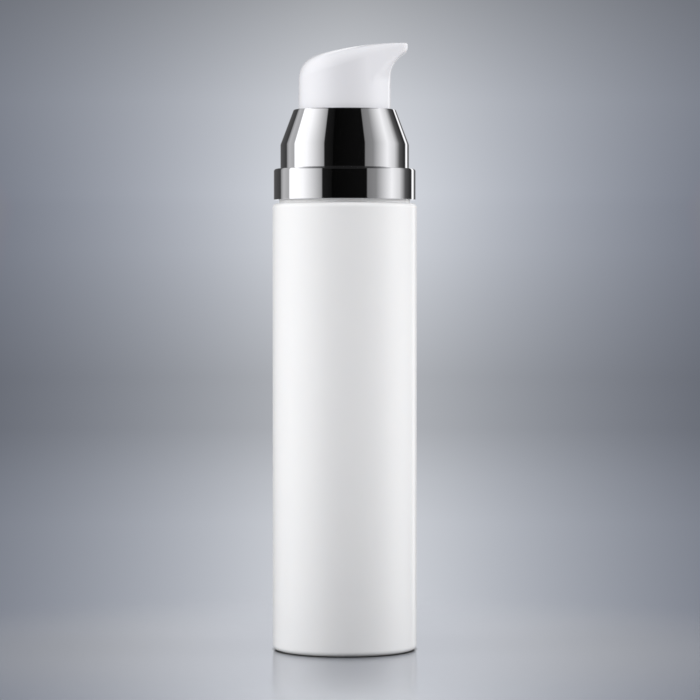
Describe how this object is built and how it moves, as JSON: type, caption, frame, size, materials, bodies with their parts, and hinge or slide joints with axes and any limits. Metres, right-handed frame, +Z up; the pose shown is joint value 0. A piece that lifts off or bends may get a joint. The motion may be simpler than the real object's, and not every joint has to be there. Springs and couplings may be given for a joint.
{
  "type": "airless pump bottle",
  "caption": "White cylindrical airless pump bottle with a mirror-bright stepped collar and a push-down head with a beak-shaped spout.",
  "frame": {"origin": "on the bottle's axis, at the foot of the barrel", "axes": "+Z up along the axis, +X towards the spout's tip"},
  "size_m": [0.033, 0.033, 0.1387],
  "materials": {
    "white_pp_barrel": "gloss",
    "white_pp_base": "satin",
    "natural_pe_follower": "satin",
    "natural_ldpe_gasket": "satin",
    "white_pp_housing": "satin",
    "stainless_ball": "polished",
    "natural_pe_seal": "satin",
    "white_pp_rod": "satin",
    "white_pp_stem": "satin",
    "white_pom_bushing": "satin",
    "stainless_spring": "drawn wire",
    "natural_pp_closure": "satin",
    "metallised_abs_shell": "mirror",
    "white_pp_head": "gloss"
  },
  "bodies": {
    "bottle_body": {"bottle": "white_pp_barrel", "base_plate": "white_pp_base", "neck_gasket": "natural_ldpe_gasket", "pump_housing": "white_pp_housing", "stem_bushing": "white_pom_bushing", "closure": "natural_pp_closure", "collar_shell": "metallised_abs_shell", "return_spring": "stainless_spring"},
    "plunger": {"stem": "white_pp_stem", "plunger_rod": "white_pp_rod"},
    "head": {"actuator": "white_pp_head"},
    "pump_seal": {"pump_piston": "natural_pe_seal"},
    "inlet_valve": {"inlet_ball": "stainless_ball"},
    "follower": {"follower_piston": "natural_pe_follower"}
  },
  "joints": [
    {"name": "press", "type": "slide", "parent": "bottle_body", "child": "plunger", "axis": [0, 0, -1], "range_m": [0, 0.0055], "stiffness_N_per_m": 600, "springref_m": -0.01, "deforming": ["return_spring"]},
    {"name": "head_swivel", "type": "hinge", "parent": "plunger", "child": "head", "pos_m": [0, 0, 0.129], "axis": [0, 0, 1], "continuous": true},
    {"name": "seal_travel", "type": "slide", "parent": "bottle_body", "child": "pump_seal", "axis": [0, 0, -1], "range_m": [0, 0.00475]},
    {"name": "valve_lift", "type": "slide", "parent": "bottle_body", "child": "inlet_valve", "axis": [0, 0, 1], "range_m": [0, 0.0005]},
    {"name": "follower_rise", "type": "slide", "parent": "bottle_body", "child": "follower", "axis": [0, 0, 1], "range_m": [0, 0.086]}
  ],
  "couplings": [
    {"joint": "seal_travel", "follows": "press", "ratio": 0.86364}
  ]
}
